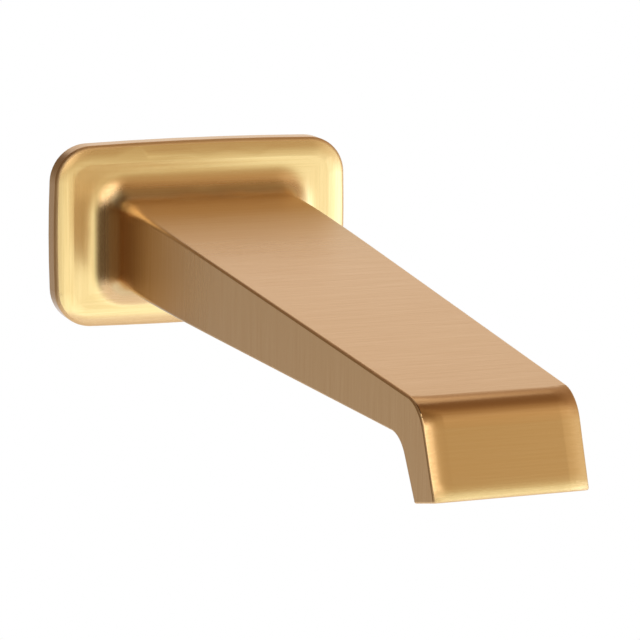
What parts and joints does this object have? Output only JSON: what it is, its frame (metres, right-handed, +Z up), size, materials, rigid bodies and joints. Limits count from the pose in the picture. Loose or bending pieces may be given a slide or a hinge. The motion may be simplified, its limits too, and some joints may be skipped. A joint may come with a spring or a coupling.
{
  "type": "wall spout",
  "caption": "Tapered rectangular wall spout with an integral cushioned flange, carrying water from a threaded rear inlet to a downturned lip with a slot outlet.",
  "frame": {"origin": "where the inlet axis meets the wall plane, at the back of the flange", "axes": "+Y along the inlet axis into the wall, +Z up, +X to the right facing the wall; the spout reaches along -Y"},
  "size_m": [0.081, 0.1998, 0.0505],
  "materials": {
    "brushed_gold": "satin brushed gold on cast brass",
    "insert_plastic": "moulded acetal"
  },
  "bodies": {
    "root": {"spout_body": "brushed_gold", "flow_straightener": "insert_plastic"}
  },
  "joints": []
}
